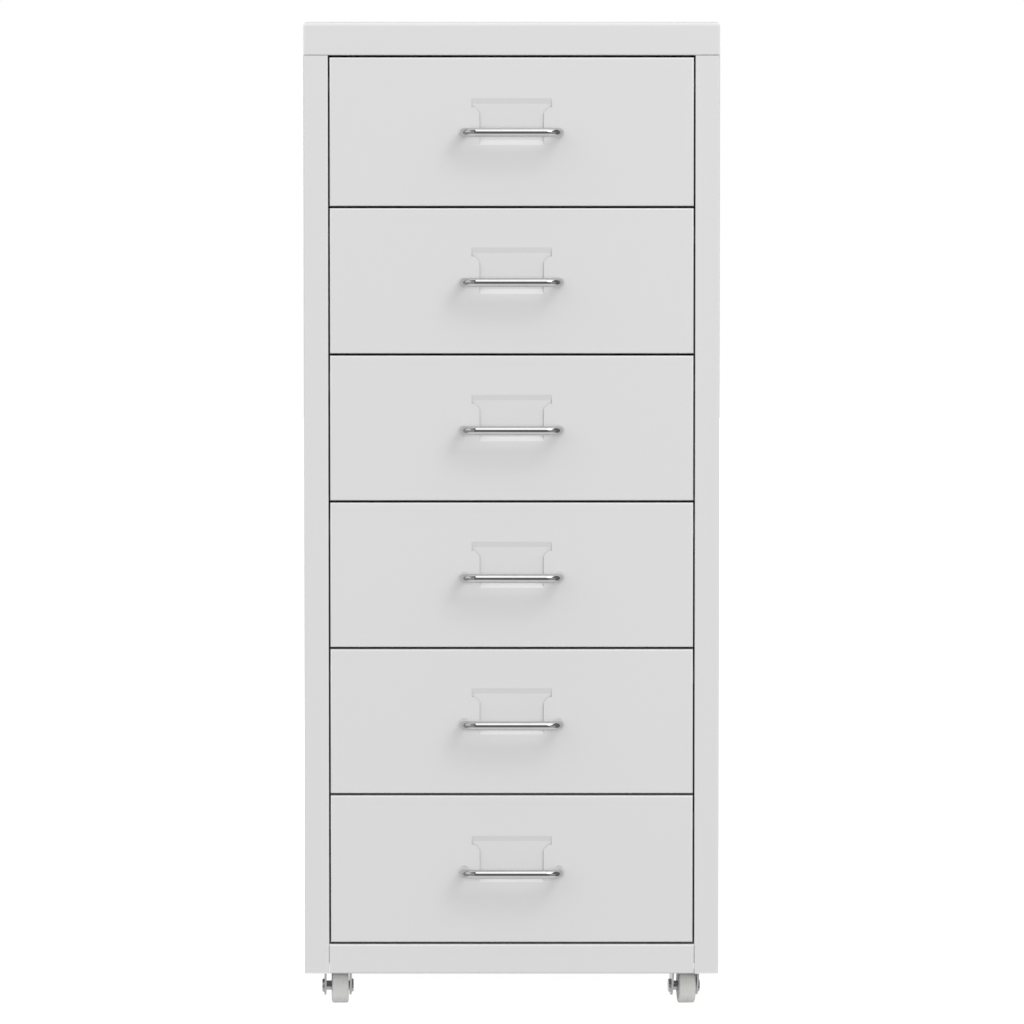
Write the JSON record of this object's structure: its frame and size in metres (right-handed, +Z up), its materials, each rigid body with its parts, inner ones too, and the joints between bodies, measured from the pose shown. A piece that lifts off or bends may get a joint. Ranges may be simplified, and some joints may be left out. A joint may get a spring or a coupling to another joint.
{
  "type": "drawer cabinet",
  "caption": "Narrow sheet-steel cabinet with a column of flush drawers, each with a wire bow handle and a pressed label holder, on small swivel casters.",
  "frame": {"origin": "on the ground, below the middle of the whole object, handles included", "axes": "+Z up, -Y out of the drawer fronts, +X to the right of a person facing the drawers"},
  "size_m": [0.28, 0.441, 0.6678],
  "materials": {
    "paint": "light grey powder coat, satin",
    "chrome": "bright chrome plate on steel wire",
    "zinc": "bright zinc plate",
    "nylon": "natural nylon, satin"
  },
  "bodies": {
    "carcass": {"left_side_panel": "paint", "right_side_panel": "paint", "top_cover": "paint", "base_pan": "paint", "back_panel": "paint", "front_caster_beam": "paint", "rear_caster_beam": "paint", "runner_pair_1": "zinc", "runner_pair_2": "zinc", "runner_pair_3": "zinc", "runner_pair_4": "zinc", "runner_pair_5": "zinc", "runner_pair_6": "zinc", "caster_fl_plate": "zinc", "caster_fr_plate": "zinc", "caster_rl_plate": "zinc", "caster_rr_plate": "zinc", "runner_rivets": "zinc", "caster_screws": "zinc", "king_rivets": "zinc"},
    "drawer_1": {"drawer_1_front": "paint", "drawer_1_tray": "paint", "drawer_1_handle": "chrome", "drawer_1_nuts": "zinc"},
    "drawer_2": {"drawer_2_front": "paint", "drawer_2_tray": "paint", "drawer_2_handle": "chrome", "drawer_2_nuts": "zinc"},
    "drawer_3": {"drawer_3_front": "paint", "drawer_3_tray": "paint", "drawer_3_handle": "chrome", "drawer_3_nuts": "zinc"},
    "drawer_4": {"drawer_4_front": "paint", "drawer_4_tray": "paint", "drawer_4_handle": "chrome", "drawer_4_nuts": "zinc"},
    "drawer_5": {"drawer_5_front": "paint", "drawer_5_tray": "paint", "drawer_5_handle": "chrome", "drawer_5_nuts": "zinc"},
    "drawer_6": {"drawer_6_front": "paint", "drawer_6_tray": "paint", "drawer_6_handle": "chrome", "drawer_6_nuts": "zinc"},
    "caster_fl_swivel": {"caster_fl_fork": "zinc", "caster_fl_axle": "zinc"},
    "caster_fl_roller": {"caster_fl_wheel": "nylon"},
    "caster_fr_swivel": {"caster_fr_fork": "zinc", "caster_fr_axle": "zinc"},
    "caster_fr_roller": {"caster_fr_wheel": "nylon"},
    "caster_rl_swivel": {"caster_rl_fork": "zinc", "caster_rl_axle": "zinc"},
    "caster_rl_roller": {"caster_rl_wheel": "nylon"},
    "caster_rr_swivel": {"caster_rr_fork": "zinc", "caster_rr_axle": "zinc"},
    "caster_rr_roller": {"caster_rr_wheel": "nylon"}
  },
  "joints": [
    {"name": "drawer_1_slide", "type": "slide", "parent": "carcass", "child": "drawer_1", "axis": [0, -1, 0], "range_m": [0, 0.306]},
    {"name": "drawer_2_slide", "type": "slide", "parent": "carcass", "child": "drawer_2", "axis": [0, -1, 0], "range_m": [0, 0.306]},
    {"name": "drawer_3_slide", "type": "slide", "parent": "carcass", "child": "drawer_3", "axis": [0, -1, 0], "range_m": [0, 0.306]},
    {"name": "drawer_4_slide", "type": "slide", "parent": "carcass", "child": "drawer_4", "axis": [0, -1, 0], "range_m": [0, 0.306]},
    {"name": "drawer_5_slide", "type": "slide", "parent": "carcass", "child": "drawer_5", "axis": [0, -1, 0], "range_m": [0, 0.306]},
    {"name": "drawer_6_slide", "type": "slide", "parent": "carcass", "child": "drawer_6", "axis": [0, -1, 0], "range_m": [0, 0.306]},
    {"name": "caster_fl_turn", "type": "hinge", "parent": "carcass", "child": "caster_fl_swivel", "pos_m": [-0.1183, -0.1595, 0.0276], "axis": [0, 0, 1], "continuous": true},
    {"name": "caster_fl_roll", "type": "hinge", "parent": "caster_fl_swivel", "child": "caster_fl_roller", "pos_m": [-0.11877, -0.15051, 0.012], "axis": [0.9986, 0.0523, 0], "continuous": true},
    {"name": "caster_fr_turn", "type": "hinge", "parent": "carcass", "child": "caster_fr_swivel", "pos_m": [0.1183, -0.1595, 0.0276], "axis": [0, 0, 1], "continuous": true},
    {"name": "caster_fr_roll", "type": "hinge", "parent": "caster_fr_swivel", "child": "caster_fr_roller", "pos_m": [0.11752, -0.15053, 0.012], "axis": [0.9962, 0.0872, 0], "continuous": true},
    {"name": "caster_rl_turn", "type": "hinge", "parent": "carcass", "child": "caster_rl_swivel", "pos_m": [-0.1183, 0.1905, 0.0276], "axis": [0, 0, 1], "continuous": true},
    {"name": "caster_rl_roll", "type": "hinge", "parent": "caster_rl_swivel", "child": "caster_rl_roller", "pos_m": [-0.1183, 0.1995, 0.012], "axis": [1, 0, 0], "continuous": true},
    {"name": "caster_rr_turn", "type": "hinge", "parent": "carcass", "child": "caster_rr_swivel", "pos_m": [0.1183, 0.1905, 0.0276], "axis": [0, 0, 1], "continuous": true},
    {"name": "caster_rr_roll", "type": "hinge", "parent": "caster_rr_swivel", "child": "caster_rr_roller", "pos_m": [0.1183, 0.1995, 0.012], "axis": [1, 0, 0], "continuous": true}
  ]
}
